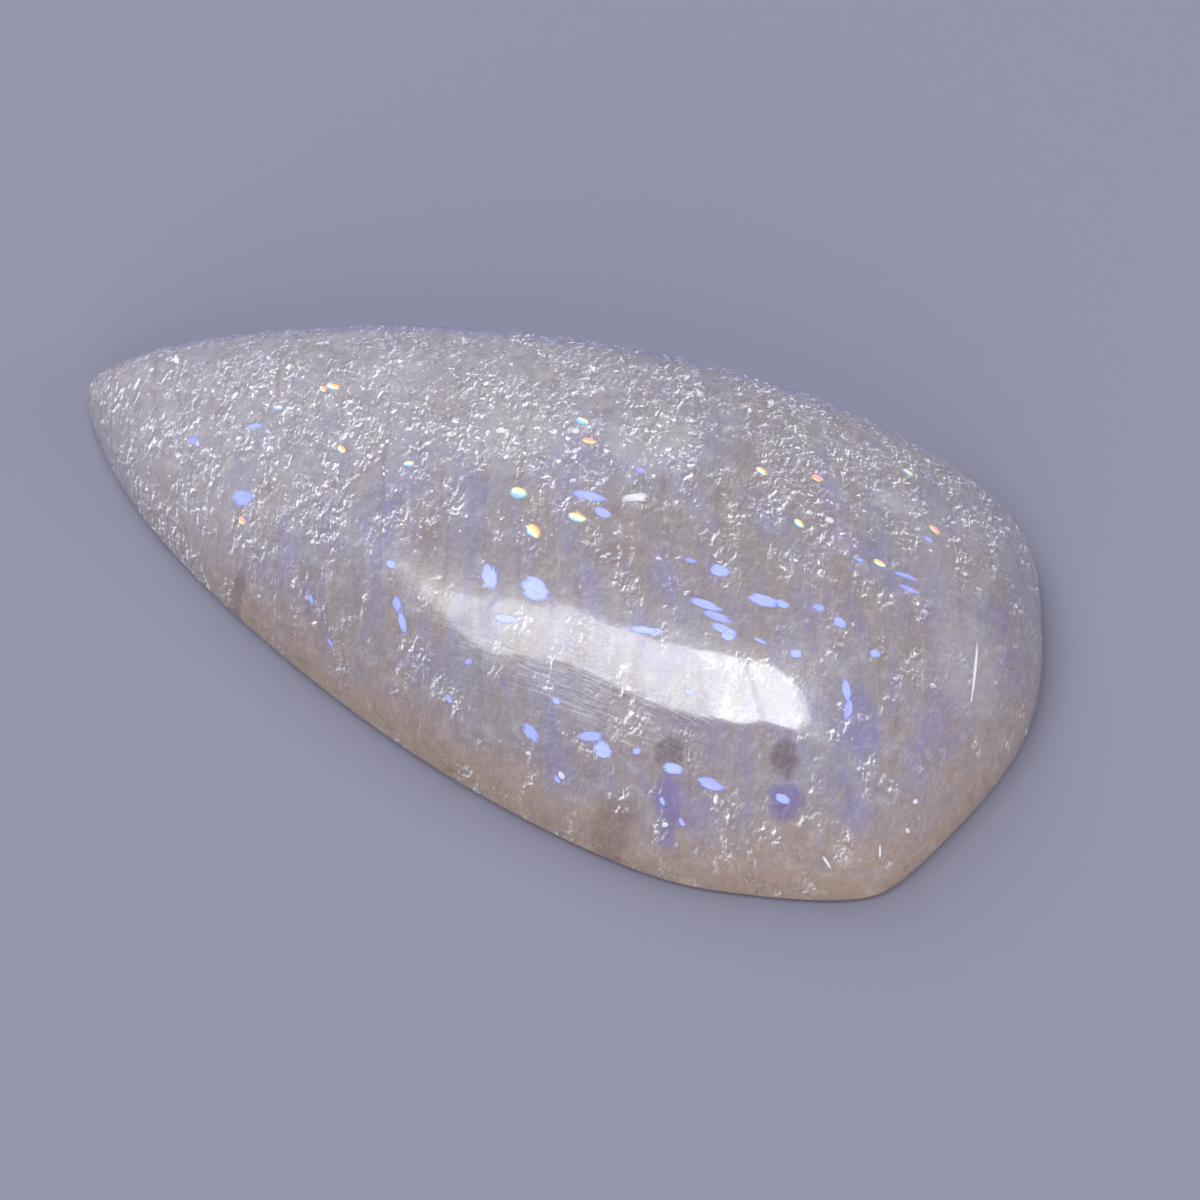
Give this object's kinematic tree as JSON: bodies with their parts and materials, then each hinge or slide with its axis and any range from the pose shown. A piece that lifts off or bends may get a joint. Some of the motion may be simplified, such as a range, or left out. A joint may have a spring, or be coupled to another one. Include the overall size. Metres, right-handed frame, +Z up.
{
  "type": "polished rainbow moonstone",
  "caption": "Freeform pear cabochon of milky moonstone: a smooth domed face, one pointed end, one blunt squarish end and a flat back to rest on.",
  "frame": {"origin": "middle of the stone's box, on the flat back", "axes": "+Z up through the dome, +X along the stone from its pointed end to its blunt end"},
  "size_m": [0.0358, 0.0196, 0.007],
  "materials": {
    "stone": "milky translucent feldspar, polished"
  },
  "bodies": {
    "root": {"stone": "stone"}
  },
  "joints": []
}
